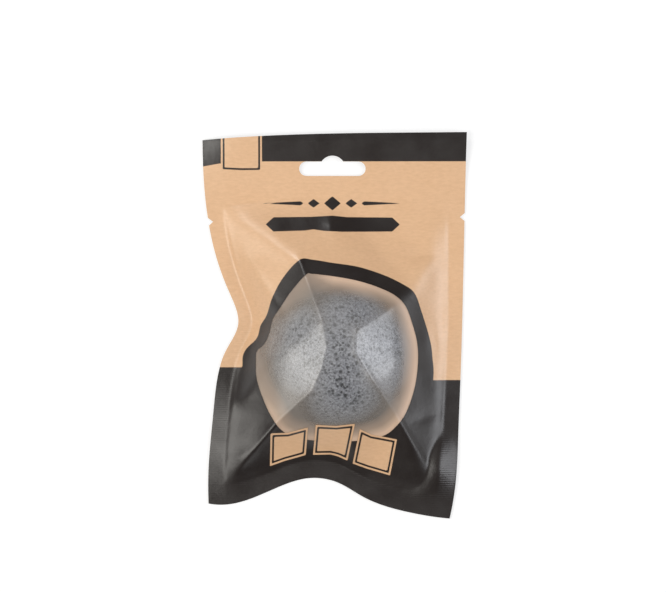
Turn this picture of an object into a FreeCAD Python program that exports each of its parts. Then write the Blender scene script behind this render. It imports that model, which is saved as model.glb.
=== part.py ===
"""Konjac sponge in its sealed hanging pouch, lying on its back.

The pouch is two laminated webs, each a printed ply with a clear sealing film behind it.
The films are melted together in bands along the sides, the bottom and the header.
The front web tents over a half-ball sponge, which draws the left and bottom edges in.
A window is cut in the front printed ply, and the header tears off between two notches.

Millimetres. +X right, +Y towards the hanging slot, +Z out of the front. The origin is at
the middle of the pouch, on the surface that its back lies on.
"""
import FreeCAD, Part
import math
import os
from FreeCAD import Vector

# Pouch sheet
POUCH_WIDTH = 132.0
POUCH_LENGTH = 193.1
PRINT_PLY = 0.2
FILM_PLY = 0.15

# Heat-seal bands
SIDE_SEAL = 9.0
BOTTOM_SEAL = 11.0
HEADER_SEAL = 35.4

# Tear-off header, its notches and its hanging slot
HEADER_LENGTH = 42.4
NOTCH_DEPTH = 2.3
NOTCH_MOUTH = 3.2
SLOT_LENGTH = 33.2
SLOT_HEIGHT = 7.2
SLOT_BUMP_RADIUS = 6.5
SLOT_FROM_TOP = 18.2
SLOT_OFFSET = -1.1

# How the filled pouch pulls its edges in: the film left between the sponge and the seal
# at the waist and at the arch, and how far the edges lean
WAIST_GAP = 4.7
WAIST_ABOVE_SPONGE = 14.7
ARCH_GAP = 14.0
ARCH_LEFT_OF_SPONGE = 14.9
RIGHT_LEAN = 8.5
LEFT_LEAN = 3.0
TOP_LEFT_DROP = 4.0
BOTTOM_LEFT_RISE = 7.5

# Half-ball sponge
SPONGE_DIAMETER = 74.0
SPONGE_HEIGHT = 30.0
SPONGE_EDGE_ROUND = 3.0
SPONGE_X = 2.5
SPONGE_Y = -14.3
SEAT_GAP = 0.3

# Front web over the sponge: room above the sponge, flat film left beside the seals, and how
# far inside the side seals its two shoulders lie
FILM_CLEARANCE = 1.2
FILM_RIM = 1.0
SHOULDER_INSET = 5.0

# Where the front web starts to rise, as directions from the sponge's axis in degrees
RIM_ANGLES = {
    "right_high": 29.5, "right_top": 43.4, "top_right": 54.7, "header": 90.4, "top_left": 127.8,
    "left_high": 136.7, "above_waist": 145.4, "waist": 160.1, "below_waist": 179.0, "left_low": 209.6,
    "left_end": 223.6, "bottom_left": 228.5, "arch_left": 241.5, "arch": 253.4, "arch_right": 269.0,
    "bottom_mid": 281.2, "bottom_right": 304.1, "right_low": 321.2, "right_mid": 350.2,
}

# Corners of its facets, from the sponge's axis: across and along in sponge radii, up in
# tent heights. Two crests curve over the sponge like brackets set back to back.
FOLDS = {
    "left_peak": (-0.535, 1.25, 0.52), "left_crest_high": (-0.24, 0.445, 0.93),
    "left_crest_top": (-0.175, 0.13, 0.99), "left_crest_low": (-0.245, -0.18, 0.98),
    "left_crest_end": (-0.38, -0.49, 0.883), "left_foot": (-0.83, -0.90, 0.525),
    "left_cheek": (-0.80, 0.60, 0.57), "dent": (-0.70, 0.01, 0.795), "dent_end": (-0.985, -0.075, 0.555),
    "right_peak": (1.02, 0.865, 0.33), "right_bend": (0.72, 0.65, 0.60),
    "right_crest_high": (0.23, 0.325, 0.97), "right_crest_top": (0.215, 0.035, 0.99),
    "right_crest_end": (0.445, -0.35, 0.908), "right_foot": (0.73, -0.775, 0.57),
    "right_cheek": (0.77, -0.14, 0.72), "right_side": (0.985, -0.10, 0.415),
    "brow": (-0.015, 0.98, 0.62), "chin": (0.04, -0.855, 0.65),
}

# The shoulders: the rim point beside each, the way in from it, and the height in tent heights
SHOULDERS = {"left_shoulder": ("left_high", 1, 0.187), "right_shoulder": ("right_top", -1, 0.095)}

# The facets: around each corner, its neighbours in turn, two of them to a facet
FANS = {
    "left_peak": "left_shoulder left_cheek left_crest_high brow header top_left left_shoulder",
    "right_bend": "brow right_crest_high right_cheek right_side right_peak header brow",
    "right_shoulder": "right_peak right_high right_top top_right header right_peak",
    "left_shoulder": "top_left left_high above_waist left_cheek",
    "left_cheek": "above_waist waist dent_end dent left_crest_high",
    "dent": "dent_end left_foot left_crest_end left_crest_low left_crest_top left_crest_high",
    "dent_end": "waist below_waist left_low left_foot",
    "left_foot": "left_low left_end bottom_left arch_left arch chin left_crest_end",
    "chin": "arch arch_right bottom_mid right_foot right_crest_end left_crest_end",
    "right_foot": "bottom_mid bottom_right right_low right_side right_cheek right_crest_end",
    "right_side": "right_low right_mid right_peak",
    "right_peak": "right_mid right_high",
    "right_crest_top": "right_crest_high left_crest_top left_crest_low right_crest_end right_cheek"
                       " right_crest_high",
    "left_crest_high": "left_crest_top right_crest_high brow",
    "left_crest_end": "right_crest_end left_crest_low",
}

# Window in the front printed ply
WINDOW_DIAMETER = 80.5
WINDOW_X = 1.1
WINDOW_Y = -14.6

# Places worked out from the sizes above
TOP_Y = POUCH_LENGTH / 2
BOTTOM_Y = -POUCH_LENGTH / 2
LEFT_X = -POUCH_WIDTH / 2
RIGHT_X = POUCH_WIDTH / 2
TEAR_Y = TOP_Y - HEADER_LENGTH
HEADER_SEAL_Y = TOP_Y - HEADER_SEAL
SLOT_Y = TOP_Y - SLOT_FROM_TOP
WAIST_Y = SPONGE_Y + WAIST_ABOVE_SPONGE
WAIST_DRAW = SPONGE_X - SPONGE_DIAMETER / 2 - WAIST_GAP - SIDE_SEAL - LEFT_X
ARCH_X = SPONGE_X - ARCH_LEFT_OF_SPONGE
ARCH_RISE = SPONGE_Y - SPONGE_DIAMETER / 2 - ARCH_GAP - BOTTOM_SEAL - BOTTOM_Y
BOTTOM_LEFT = Vector(LEFT_X + LEFT_LEAN, BOTTOM_Y + BOTTOM_LEFT_RISE, 0)
BOTTOM_RIGHT = Vector(RIGHT_X - RIGHT_LEAN, BOTTOM_Y, 0)
TOP_LEFT = Vector(LEFT_X, TOP_Y - TOP_LEFT_DROP, 0)
TOP_RIGHT = Vector(RIGHT_X, TOP_Y, 0)

# Heights of the laminated layers, from the surface up
BACK_FILM_Z = PRINT_PLY
FRONT_FILM_Z = BACK_FILM_Z + FILM_PLY
FRONT_PRINT_Z = FRONT_FILM_Z + FILM_PLY
WELD_THICKNESS = 2 * FILM_PLY
STACK_TOP_Z = FRONT_PRINT_Z + PRINT_PLY
SPONGE_Z = FRONT_FILM_Z + SEAT_GAP
TENT_HEIGHT = SPONGE_HEIGHT + FILM_CLEARANCE

# A block that reaches past the pouch on every side
REACH = 2 * (POUCH_WIDTH + POUCH_LENGTH)


def between(low, high, share):
    return low + (high - low) * share


def spline(points):
    curve = Part.BSplineCurve()
    curve.interpolate(points)
    return curve.toShape()


def left_edge():
    """Down the left side: straight at the header, pulled in at the waist, out again below it."""
    above_waist = ((0.06, 0.72), (0.25, 0.47), (0.74, 0.18))
    below_waist = ((0.63, 0.155), (0.48, 0.24), (0.30, 0.50), (0.17, 0.80))
    points = [TOP_LEFT]
    for draw, climb in above_waist:
        points.append(Vector(LEFT_X + WAIST_DRAW * draw, between(WAIST_Y, TOP_LEFT.y, climb), 0))
    points.append(Vector(LEFT_X + WAIST_DRAW, WAIST_Y, 0))
    for draw, fall in below_waist:
        points.append(Vector(LEFT_X + WAIST_DRAW * draw, between(WAIST_Y, BOTTOM_LEFT.y, fall), 0))
    points.append(BOTTOM_LEFT)
    return spline(points)


def bottom_edge():
    """Left to right along the bottom, which rises in an arch below the sponge."""
    left_of_arch = ((0.63, 0.45), (0.28, 0.81))
    right_of_arch = ((0.20, 0.89), (0.38, 0.54), (0.69, 0.17))
    points = [BOTTOM_LEFT]
    for run, rise in left_of_arch:
        points.append(Vector(between(ARCH_X, BOTTOM_LEFT.x, run), BOTTOM_Y + ARCH_RISE * rise, 0))
    points.append(Vector(ARCH_X, BOTTOM_Y + ARCH_RISE, 0))
    for run, rise in right_of_arch:
        points.append(Vector(between(ARCH_X, BOTTOM_RIGHT.x, run), BOTTOM_Y + ARCH_RISE * rise, 0))
    points.append(BOTTOM_RIGHT)
    return spline(points)


def right_edge():
    """Up the right side, which leans in a little towards the bottom."""
    leans = ((0.68, 0.08), (0.49, 0.22), (0.35, 0.38), (0.12, 0.785))
    points = [BOTTOM_RIGHT]
    for lean, climb in leans:
        points.append(Vector(RIGHT_X - RIGHT_LEAN * lean, between(BOTTOM_Y, TOP_Y, climb), 0))
    points.append(TOP_RIGHT)
    return spline(points)


def top_edge():
    """Right to left along the header, dropping towards the curled left corner."""
    drops = ((0.40, 0.12), (0.72, 0.40))
    points = [TOP_RIGHT]
    for run, drop in drops:
        points.append(Vector(between(RIGHT_X, LEFT_X, run), TOP_Y - TOP_LEFT_DROP * drop, 0))
    points.append(TOP_LEFT)
    return spline(points)


def block(low, high):
    return Part.makeBox(high.x - low.x, high.y - low.y, high.z - low.z, low)


def below_line(y, z_low, z_high):
    return block(Vector(-REACH, -REACH, z_low), Vector(REACH, y, z_high))


def above_line(y, z_low, z_high):
    return block(Vector(-REACH, y, z_low), Vector(REACH, REACH, z_high))


OUTLINE = Part.Face(Part.Wire([top_edge(), left_edge(), bottom_edge(), right_edge()]))


def sheet(z, thickness, shift=Vector(0, 0, 0)):
    """The whole pouch outline as a plate, with its lower face at height z."""
    face = OUTLINE.copy()
    face.translate(Vector(shift.x, shift.y, z))
    return face.extrude(Vector(0, 0, thickness))


def notches(z, thickness):
    """The two tear notches: small wedges cut into both edges on the tear line."""
    cutters = []
    for edge, inward in ((left_edge(), 1), (right_edge(), -1)):
        mouth = edge.common(block(Vector(-REACH, TEAR_Y - NOTCH_MOUTH / 2, -1),
                                  Vector(REACH, TEAR_Y + NOTCH_MOUTH / 2, 1)))
        edge_x = mouth.BoundBox.Center.x
        out_x = edge_x - inward * NOTCH_DEPTH
        tip = Vector(edge_x + inward * NOTCH_DEPTH, TEAR_Y, z)
        lower = Vector(out_x, TEAR_Y - NOTCH_MOUTH, z)
        upper = Vector(out_x, TEAR_Y + NOTCH_MOUTH, z)
        wedge = Part.Face(Part.makePolygon([lower, tip, upper, lower]))
        cutters.append(wedge.extrude(Vector(0, 0, thickness)))
    return cutters


def body_plate(z, thickness):
    """The pouch below the tear line, with its half of each notch."""
    plate = sheet(z, thickness).common(below_line(TEAR_Y, z, z + thickness))
    return plate.cut(notches(z, thickness))


def hanging_slot(z, thickness):
    """A round-ended slot with a round bump on its upper side."""
    half_run = (SLOT_LENGTH - SLOT_HEIGHT) / 2
    radius = SLOT_HEIGHT / 2
    bar = block(Vector(SLOT_OFFSET - half_run, SLOT_Y - radius, z),
                Vector(SLOT_OFFSET + half_run, SLOT_Y + radius, z + thickness))
    ends = [Part.makeCylinder(radius, thickness, Vector(SLOT_OFFSET + side * half_run, SLOT_Y, z))
            for side in (-1, 1)]
    bump = Part.makeCylinder(SLOT_BUMP_RADIUS, thickness, Vector(SLOT_OFFSET, SLOT_Y, z))
    bump = bump.common(above_line(SLOT_Y, z, z + thickness))
    return bar.fuse(ends + [bump])


def header_plate(z, thickness):
    """The header above the tear line, with its half of each notch and the hanging slot."""
    plate = sheet(z, thickness).common(above_line(TEAR_Y, z, z + thickness))
    return plate.cut(notches(z, thickness) + [hanging_slot(z, thickness)])


def under_bottom_line(z, thickness):
    """Everything below the upper edge of the bottom seal band."""
    edge = bottom_edge()
    edge.translate(Vector(0, BOTTOM_SEAL, z))
    left_end, right_end = edge.Vertexes[0].Point, edge.Vertexes[-1].Point
    around = [right_end, Vector(REACH, right_end.y, z), Vector(REACH, -REACH, z),
              Vector(-REACH, -REACH, z), Vector(-REACH, left_end.y, z), left_end]
    border = Part.makePolygon(around)
    face = Part.Face(Part.Wire([edge] + border.Edges))
    return face.extrude(Vector(0, 0, thickness))


def inside_seals(z, thickness):
    """The unsealed area: the outline drawn in by the side and bottom bands and the header seal."""
    inner = sheet(z, thickness, Vector(SIDE_SEAL, 0, 0))
    inner = inner.common(sheet(z, thickness, Vector(-SIDE_SEAL, 0, 0)))
    inner = inner.cut(under_bottom_line(z, thickness))
    return inner.common(below_line(HEADER_SEAL_Y, z, z + thickness))


def cavity(z, thickness):
    return inside_seals(z, thickness).common(below_line(TEAR_Y, z, z + thickness))


def mouth_strip(z, thickness):
    """The short unsealed strip of film that stays on the header when it is torn off."""
    return inside_seals(z, thickness).common(above_line(TEAR_Y, z, z + thickness))


def on_ray(angle, distance, height):
    """A point in a direction from the sponge's axis."""
    turn = math.radians(angle)
    return Vector(SPONGE_X + distance * math.cos(turn), SPONGE_Y + distance * math.sin(turn), height)


def rim_reaches():
    """How far from the sponge's axis the front web still lies flat, in each rim direction."""
    floor = inside_seals(0, 1)
    reaches = {}
    for name, angle in RIM_ANGLES.items():
        ray = Part.makeLine(on_ray(angle, 0, 0.5), on_ray(angle, REACH, 0.5))
        reaches[name] = ray.common(floor).Length - FILM_RIM
    return reaches


RIM_REACHES = rim_reaches()


def facet_corners(grow):
    """Every corner of the front web's facets, grown outwards by a layer thickness."""
    radius = SPONGE_DIAMETER / 2
    corners = {name: on_ray(RIM_ANGLES[name], reach + grow, FRONT_FILM_Z)
               for name, reach in RIM_REACHES.items()}
    for name, (across, along, up) in FOLDS.items():
        corners[name] = Vector(SPONGE_X + across * radius, SPONGE_Y + along * radius,
                               SPONGE_Z + up * TENT_HEIGHT + grow)
    for name, (beside, inward, up) in SHOULDERS.items():
        foot = corners[beside]
        corners[name] = Vector(foot.x + inward * SHOULDER_INSET, foot.y, SPONGE_Z + up * TENT_HEIGHT + grow)
    return corners


def flat_face(points):
    return Part.Face(Part.makePolygon(points + points[:1]))


def tent(grow):
    """A solid filling the space under the front web's facets, grown outwards by a layer thickness."""
    corners = facet_corners(grow)
    faces = [flat_face([corners[name] for name in reversed(list(RIM_ANGLES))])]
    for hub, around in FANS.items():
        ring = around.split()
        for first, second in zip(ring, ring[1:]):
            faces.append(flat_face([corners[hub], corners[first], corners[second]]))
    return Part.makeSolid(Part.makeShell(faces))


def tented_layer(flat_layer, z, thickness, side):
    """A layer of the front web on one side of the tear line: flat at its edges, raised over the sponge."""
    below = z - FRONT_FILM_Z
    raised = tent(below + thickness).common(side(TEAR_Y, z, REACH))
    return flat_layer.fuse(raised).cut(tent(below))


def front_panel():
    """Printed ply of the front web, folded over the sponge, with the window cut out."""
    ply = tented_layer(body_plate(FRONT_PRINT_Z, PRINT_PLY), FRONT_PRINT_Z, PRINT_PLY, below_line)
    window = Part.makeCylinder(WINDOW_DIAMETER / 2, REACH, Vector(WINDOW_X, WINDOW_Y, 0))
    return ply.cut(window)


def header_front_panel():
    """Printed ply of the header, which rises a little towards the tear line."""
    return tented_layer(header_plate(FRONT_PRINT_Z, PRINT_PLY), FRONT_PRINT_Z, PRINT_PLY, above_line)


def window_film():
    """Frosted sealing film of the front web, seen through the window, kept clear of the seal bands."""
    film = tented_layer(cavity(FRONT_FILM_Z, FILM_PLY), FRONT_FILM_Z, FILM_PLY, below_line)
    return film.common(cavity(FRONT_FILM_Z, REACH))


def header_front_film():
    """The front film's short strip that stays on the header."""
    film = tented_layer(mouth_strip(FRONT_FILM_Z, FILM_PLY), FRONT_FILM_Z, FILM_PLY, above_line)
    return film.common(mouth_strip(FRONT_FILM_Z, REACH))


def body_welds():
    """The melted bands below the tear line, as (left, right, bottom)."""
    bands = body_plate(BACK_FILM_Z, WELD_THICKNESS).cut(cavity(BACK_FILM_Z, WELD_THICKNESS))
    low = under_bottom_line(BACK_FILM_Z, WELD_THICKNESS)
    sides = bands.cut(low)
    right_half = block(Vector(SPONGE_X, -REACH, 0), Vector(REACH, REACH, STACK_TOP_Z))
    return sides.cut(right_half), sides.common(right_half), bands.common(low)


def sponge():
    """Half-ball with a flat base, a rounded lower edge and an elliptical dome."""
    radius = SPONGE_DIAMETER / 2
    base, rim, crown = Vector(0, 0, 0), Vector(radius, 0, 0), Vector(0, 0, SPONGE_HEIGHT)
    if SPONGE_HEIGHT < radius:
        ellipse = Part.Ellipse(rim, crown, base)
        dome_arc = Part.Arc(ellipse, 0, math.pi / 2).toShape()
    else:
        ellipse = Part.Ellipse(crown, -rim, base)
        dome_arc = Part.Arc(ellipse, -math.pi / 2, 0).toShape()
    profile = Part.Wire([Part.makeLine(base, rim), dome_arc, Part.makeLine(crown, base)])
    dome = Part.Face(profile).revolve(base, Vector(0, 0, 1), 360)
    lower_edge = [edge for edge in dome.Edges
                  if edge.BoundBox.ZMax < SPONGE_EDGE_ROUND and edge.Length > POUCH_WIDTH]
    dome = dome.makeFillet(SPONGE_EDGE_ROUND, lower_edge)
    dome.translate(Vector(SPONGE_X, SPONGE_Y, SPONGE_Z))
    return dome


def pieces():
    """Every sub-part of the packed sponge by name."""
    left_weld, right_weld, bottom_weld = body_welds()
    header_weld = header_plate(BACK_FILM_Z, WELD_THICKNESS)
    header_weld = header_weld.cut(mouth_strip(BACK_FILM_Z, WELD_THICKNESS))
    return {
        "sponge": sponge(),
        "front_panel": front_panel(),
        "window_film": window_film(),
        "left_side_seal": left_weld,
        "right_side_seal": right_weld,
        "bottom_seal": bottom_weld,
        "back_film": cavity(BACK_FILM_Z, FILM_PLY),
        "back_panel": body_plate(0, PRINT_PLY),
        "header_front_panel": header_front_panel(),
        "header_front_film": header_front_film(),
        "header_seal": header_weld,
        "header_back_film": mouth_strip(BACK_FILM_Z, FILM_PLY),
        "header_back_panel": header_plate(0, PRINT_PLY),
    }


def main():
    os.makedirs("parts", exist_ok=True)
    for name, shape in pieces().items():
        shape = shape.removeSplitter()
        shape.exportStep("parts/" + name + ".step")
        box = shape.BoundBox
        print(f"{name}: {len(shape.Solids)} solid, valid {shape.isValid()}, {shape.Volume:.1f} mm3,",
              f"x {box.XMin:.2f} {box.XMax:.2f}, y {box.YMin:.2f} {box.YMax:.2f},",
              f"z {box.ZMin:.2f} {box.ZMax:.2f}")


main()
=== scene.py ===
# %% [markdown]
# # A konjac sponge in its hanging pouch
# The real thing is a dry half-ball sponge, heat-sealed in a flat pouch of printed film.
# The CAD model gives the sizes, the bodies and the joints. This lesson gives it its looks:
# film that tents over the sponge, a frosted window, sealed edges, print, and open-pored foam.
# The CAD model is loaded first. It is never moved, so every new piece is placed by its numbers.

# %% Load the CAD model
import math
import bpy
import numpy as np
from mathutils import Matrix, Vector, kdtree
from mathutils.bvhtree import BVHTree


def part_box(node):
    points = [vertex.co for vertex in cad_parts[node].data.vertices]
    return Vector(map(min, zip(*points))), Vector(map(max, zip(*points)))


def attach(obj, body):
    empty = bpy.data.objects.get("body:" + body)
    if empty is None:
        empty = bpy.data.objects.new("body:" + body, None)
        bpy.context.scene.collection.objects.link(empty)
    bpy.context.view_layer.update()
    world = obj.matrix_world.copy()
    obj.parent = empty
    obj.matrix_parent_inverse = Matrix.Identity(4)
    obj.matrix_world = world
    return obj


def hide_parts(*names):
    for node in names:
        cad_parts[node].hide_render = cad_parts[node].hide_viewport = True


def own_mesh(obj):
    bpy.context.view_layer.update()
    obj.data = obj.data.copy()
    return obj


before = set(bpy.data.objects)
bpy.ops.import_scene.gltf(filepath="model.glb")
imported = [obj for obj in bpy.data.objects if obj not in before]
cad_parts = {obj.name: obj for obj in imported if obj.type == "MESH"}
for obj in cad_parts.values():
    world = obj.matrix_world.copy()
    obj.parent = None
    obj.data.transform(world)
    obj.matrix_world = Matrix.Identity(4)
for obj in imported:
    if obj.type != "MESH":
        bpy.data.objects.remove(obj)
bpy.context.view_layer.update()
MM = 0.001

# %% [markdown]
# ## Camera
# The photograph looks straight down on the pouch from far away, so its edges hardly converge.
# A long lens from two metres up does the same. One millimetre is two pixels there, which
# fixes the width that the lens has to cover.

# %% Camera straight above the pouch
IMAGE_WIDTH_PX = 666
PX_PER_MM = 2.0
CAMERA_HEIGHT = 2.0
SENSOR_WIDTH = 36.0
VIEW_CENTRE = (-0.8 * MM, 14.7 * MM)

bpy.ops.object.select_all(action='DESELECT')
bpy.ops.object.camera_add(location=(VIEW_CENTRE[0], VIEW_CENTRE[1], CAMERA_HEIGHT), rotation=(0, 0, 0))
camera = bpy.context.object
camera.name = "view_from_above"
camera.data.sensor_width = SENSOR_WIDTH
camera.data.lens = SENSOR_WIDTH * CAMERA_HEIGHT / (IMAGE_WIDTH_PX / PX_PER_MM * MM)
bpy.context.scene.camera = camera
print("lens", round(camera.data.lens), "mm")

# %% [markdown]
# ## Floor and light
# The pouch lies on a plain white table. Two large soft lamps, a smaller one at the top and a
# pale world give the broad, gentle highlights of a studio tent. The table adds a little light
# of its own for the camera, for reflections and for what shows through film, so it reads as
# white and still takes the pouch's shadow.

# %% Floor, world and lamps
scene = bpy.context.scene
scene.view_settings.view_transform = 'Standard'
FLOOR_SIZE = 6.0
FLOOR_DROP = 0.0005
FLOOR_GREY = 0.42
FLOOR_GLOW = 0.66
WORLD_STRENGTH = 0.10
LAMP_TARGET = np.array((0.0, 0.0, 0.01))
LAMPS = (
    ("left_softbox", (-0.72, -0.17, 0.82), 0.95, 8.4, (1.0, 0.98, 0.93)),
    ("right_softbox", (0.84, -0.05, 0.71), 0.85, 7.0, (0.94, 0.96, 1.0)),
    ("top_lamp", (-0.42, 0.80, 0.63), 0.30, 2.6, (1.0, 1.0, 1.0)),
)


def new_nodes(material):
    """Clears a material's nodes and returns its tree with an output node."""
    material.use_nodes = True
    tree = material.node_tree
    tree.nodes.clear()
    return tree, tree.nodes.new("ShaderNodeOutputMaterial")


def maths(tree, operation, first, second):
    """A sum on two numbers, given as numbers or as sockets."""
    node = tree.nodes.new("ShaderNodeMath")
    node.operation = operation
    for socket, value in zip(node.inputs, (first, second)):
        if isinstance(value, (int, float)):
            socket.default_value = value
        else:
            tree.links.new(value, socket)
    return node.outputs[0]


def floor_finish():
    """White table: dull, with a steady glow for camera, glossy and transmission rays."""
    material = bpy.data.materials.new("white_table")
    tree, output = new_nodes(material)
    matte = tree.nodes.new("ShaderNodeBsdfDiffuse")
    matte.inputs["Color"].default_value = (FLOOR_GREY, FLOOR_GREY, FLOOR_GREY, 1)
    ray = tree.nodes.new("ShaderNodeLightPath")
    seen = maths(tree, 'MAXIMUM', ray.outputs["Is Camera Ray"], ray.outputs["Is Glossy Ray"])
    seen = maths(tree, 'MAXIMUM', seen, ray.outputs["Is Transmission Ray"])
    glow = tree.nodes.new("ShaderNodeEmission")
    tree.links.new(maths(tree, 'MULTIPLY', seen, FLOOR_GLOW), glow.inputs["Strength"])
    both = tree.nodes.new("ShaderNodeAddShader")
    tree.links.new(matte.outputs[0], both.inputs[0])
    tree.links.new(glow.outputs[0], both.inputs[1])
    tree.links.new(both.outputs[0], output.inputs["Surface"])
    return material


def add_floor():
    bpy.ops.object.select_all(action='DESELECT')
    bpy.ops.mesh.primitive_plane_add(size=FLOOR_SIZE, location=(0, 0, -FLOOR_DROP))
    floor = bpy.context.object
    floor.name = "white_table"
    floor.data.materials.append(floor_finish())


def add_lamps():
    for name, place, size, power, colour in LAMPS:
        bpy.ops.object.select_all(action='DESELECT')
        bpy.ops.object.light_add(type='AREA', location=place)
        lamp = bpy.context.object
        lamp.name = name
        lamp.data.shape = 'DISK'
        lamp.data.size = size
        lamp.data.energy = power
        lamp.data.color = colour
        away = np.array(place) - LAMP_TARGET
        spread = math.hypot(away[0], away[1])
        lamp.rotation_euler = (math.atan2(spread, away[2]), 0, math.atan2(away[0], -away[1]))


def pale_world():
    world = bpy.data.worlds.new("studio")
    world.use_nodes = True
    background = world.node_tree.nodes["Background"]
    background.inputs["Color"].default_value = (1, 1, 1, 1)
    background.inputs["Strength"].default_value = WORLD_STRENGTH
    scene.world = world


add_floor()
add_lamps()
pale_world()
print("lamps:", [lamp[0] for lamp in LAMPS])

# %% [markdown]
# ## The pouch's outline
# The filled pouch isn't a rectangle any more: the sponge has drawn its edges in. The CAD back
# panel already has that outline, so it is measured there. A line across the mesh at one height
# gives the left and right edge; a line up the mesh gives the bottom and top edge.

# %% Measure the outline from the CAD back panels
def cad_segments(*names):
    """All mesh edges of some CAD nodes, as pairs of points in millimetres."""
    pairs = []
    for name in names:
        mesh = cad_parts[name].data
        points = np.array([vertex.co for vertex in mesh.vertices])
        pairs.append(points[np.array([edge.vertices for edge in mesh.edges])])
    return np.concatenate(pairs) / MM


SEGMENTS = cad_segments("back_panel", "header_back_panel")


def crossing(axis, value):
    """Lowest and highest place where the back panels cross the line axis = value."""
    start, end = SEGMENTS[:, 0], SEGMENTS[:, 1]
    low = np.minimum(start[:, axis], end[:, axis])
    high = np.maximum(start[:, axis], end[:, axis])
    hit = (low <= value) & (high >= value) & (high > low)
    start, end = start[hit], end[hit]
    share = (value - start[:, axis]) / (end[:, axis] - start[:, axis])
    places = start[:, 1 - axis] + (end[:, 1 - axis] - start[:, 1 - axis]) * share
    return places.min(), places.max()


def farthest(right, up):
    """The outline's corner in a diagonal direction."""
    points = SEGMENTS.reshape(-1, 3)
    return points[np.argmax(points[:, 0] * right + points[:, 1] * up)][:2]


TOP_LEFT, TOP_RIGHT = farthest(-1, 1), farthest(1, 1)
BOTTOM_LEFT, BOTTOM_RIGHT = farthest(-1, -1), farthest(1, -1)
TEAR_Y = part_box("back_panel")[1][1] / MM
NOTCH_MARGIN = 3.5
OUTLINE_STEPS = 160


def side_line(which, low, high):
    """Points up a side edge, without the tear notch."""
    points = [tuple(low)]
    for y in np.linspace(low[1], high[1], OUTLINE_STEPS)[1:-1]:
        if abs(y - TEAR_Y) > NOTCH_MARGIN:
            points.append((crossing(1, y)[which], y))
    return np.array(points + [tuple(high)])


def level_line(which, left, right):
    """Points along the bottom or top edge."""
    points = [tuple(left)]
    for x in np.linspace(left[0], right[0], OUTLINE_STEPS)[1:-1]:
        points.append((x, crossing(0, x)[which]))
    return np.array(points + [tuple(right)])


LEFT_LINE = side_line(0, BOTTOM_LEFT, TOP_LEFT)
RIGHT_LINE = side_line(1, BOTTOM_RIGHT, TOP_RIGHT)
BOTTOM_LINE = level_line(0, BOTTOM_LEFT, BOTTOM_RIGHT)
TOP_LINE = level_line(1, TOP_LEFT, TOP_RIGHT)


def even_points(line, count):
    """Points at even steps along a line."""
    steps = np.linalg.norm(np.diff(line, axis=0), axis=1)
    along = np.concatenate([[0], np.cumsum(steps)])
    places = np.linspace(0, along[-1], count)
    return np.column_stack([np.interp(places, along, line[:, k]) for k in range(2)])


print("outline corners:", TOP_LEFT.round(1), TOP_RIGHT.round(1), BOTTOM_LEFT.round(1), BOTTOM_RIGHT.round(1))

# %% [markdown]
# ## The film
# Each web of the pouch was cut as a flat rectangle. Film hardly stretches, so over a ball it
# breaks into broad flat facets with creases between them. Blender's Cloth pulls film this stiff
# through the sponge. The CAD film already has the facets, so a
# grid is laid on it instead: its four edges follow the pouch's outline, and a ray straight down
# finds the height of every point.

# %% The flat web and where its sealed edges end up
FLAT_WIDTH = 132.0
FLAT_LENGTH = 193.0
CELL = 0.66
COLUMNS = 1 + round(FLAT_WIDTH / CELL)
ROWS = 1 + round(FLAT_LENGTH / CELL)
SIDE_SEAL = 9.0
BOTTOM_SEAL = 11.0
HEADER_SEAL = 35.4


def drawn_in():
    """The grid with its four edges laid on the pouch's outline."""
    left, right = even_points(LEFT_LINE, ROWS)[:, None], even_points(RIGHT_LINE, ROWS)[:, None]
    bottom, top = even_points(BOTTOM_LINE, COLUMNS)[None], even_points(TOP_LINE, COLUMNS)[None]
    u = np.linspace(0, 1, COLUMNS)[None, :, None]
    v = np.linspace(0, 1, ROWS)[:, None, None]
    corners = ((1 - u) * (1 - v) * BOTTOM_LEFT + u * (1 - v) * BOTTOM_RIGHT
               + (1 - u) * v * TOP_LEFT + u * v * TOP_RIGHT)
    return (1 - v) * bottom + v * top + (1 - u) * left + u * right - corners


PLAN = drawn_in()
ACROSS, ALONG = np.meshgrid(np.linspace(0, FLAT_WIDTH, COLUMNS), np.linspace(0, FLAT_LENGTH, ROWS))
INSET = np.minimum.reduce([ACROSS - SIDE_SEAL, FLAT_WIDTH - SIDE_SEAL - ACROSS, ALONG - BOTTOM_SEAL,
                           FLAT_LENGTH - HEADER_SEAL - ALONG])
SEALED = INSET < 0.01
print("web:", COLUMNS, "by", ROWS, "points;", int(SEALED.sum()), "of them sealed")

# %% [markdown]
# ## Lifted edges
# The sealed edges don't lie quite flat: the film pulls on their inner sides, and the header's
# upper edge bends up. Such a strip could be bent with a lattice. Here each rise is a smooth bump
# along its edge, given as height, middle and half width, so it can be tuned by three numbers.

# %% How far the sealed edges rise
WAIST_LIFT = (0.8, 1.0, 36.0)
LOW_LEFT_LIFT = (2.4, -55.0, 40.0)
ARCH_LIFT = (0.5, -10.0, 45.0)
RIGHT_LIFT = (0.8, -20.0, 50.0)
LOW_RIGHT_LIFT = (4.4, -70.0, 21.0)
LIFT_FADE = 20.0
OUTER_SHARE = 0.1
HEADER_RISE = 3.0
HEADER_RISE_Y = (62.0, 92.0)
DROOP_X = (-66.0, -50.0)


def hump(place, middle, half_width):
    """A smooth bump from 0 to 1 and back."""
    return 0.5 + 0.5 * np.cos(np.pi * np.clip(np.abs(place - middle) / half_width, 0, 1))


def rise(place, lift):
    """A lift's height at some places along its edge."""
    height, middle, half_width = lift
    return height * hump(place, middle, half_width)


def strip_slope(from_edge, seal, fade):
    """A seal strip slopes up from its outer edge to its inner one; inside, the rise fades again."""
    rising = OUTER_SHARE + (1 - OUTER_SHARE) * from_edge / seal
    return np.where(from_edge < seal, rising, hump(from_edge, seal, fade))


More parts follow.
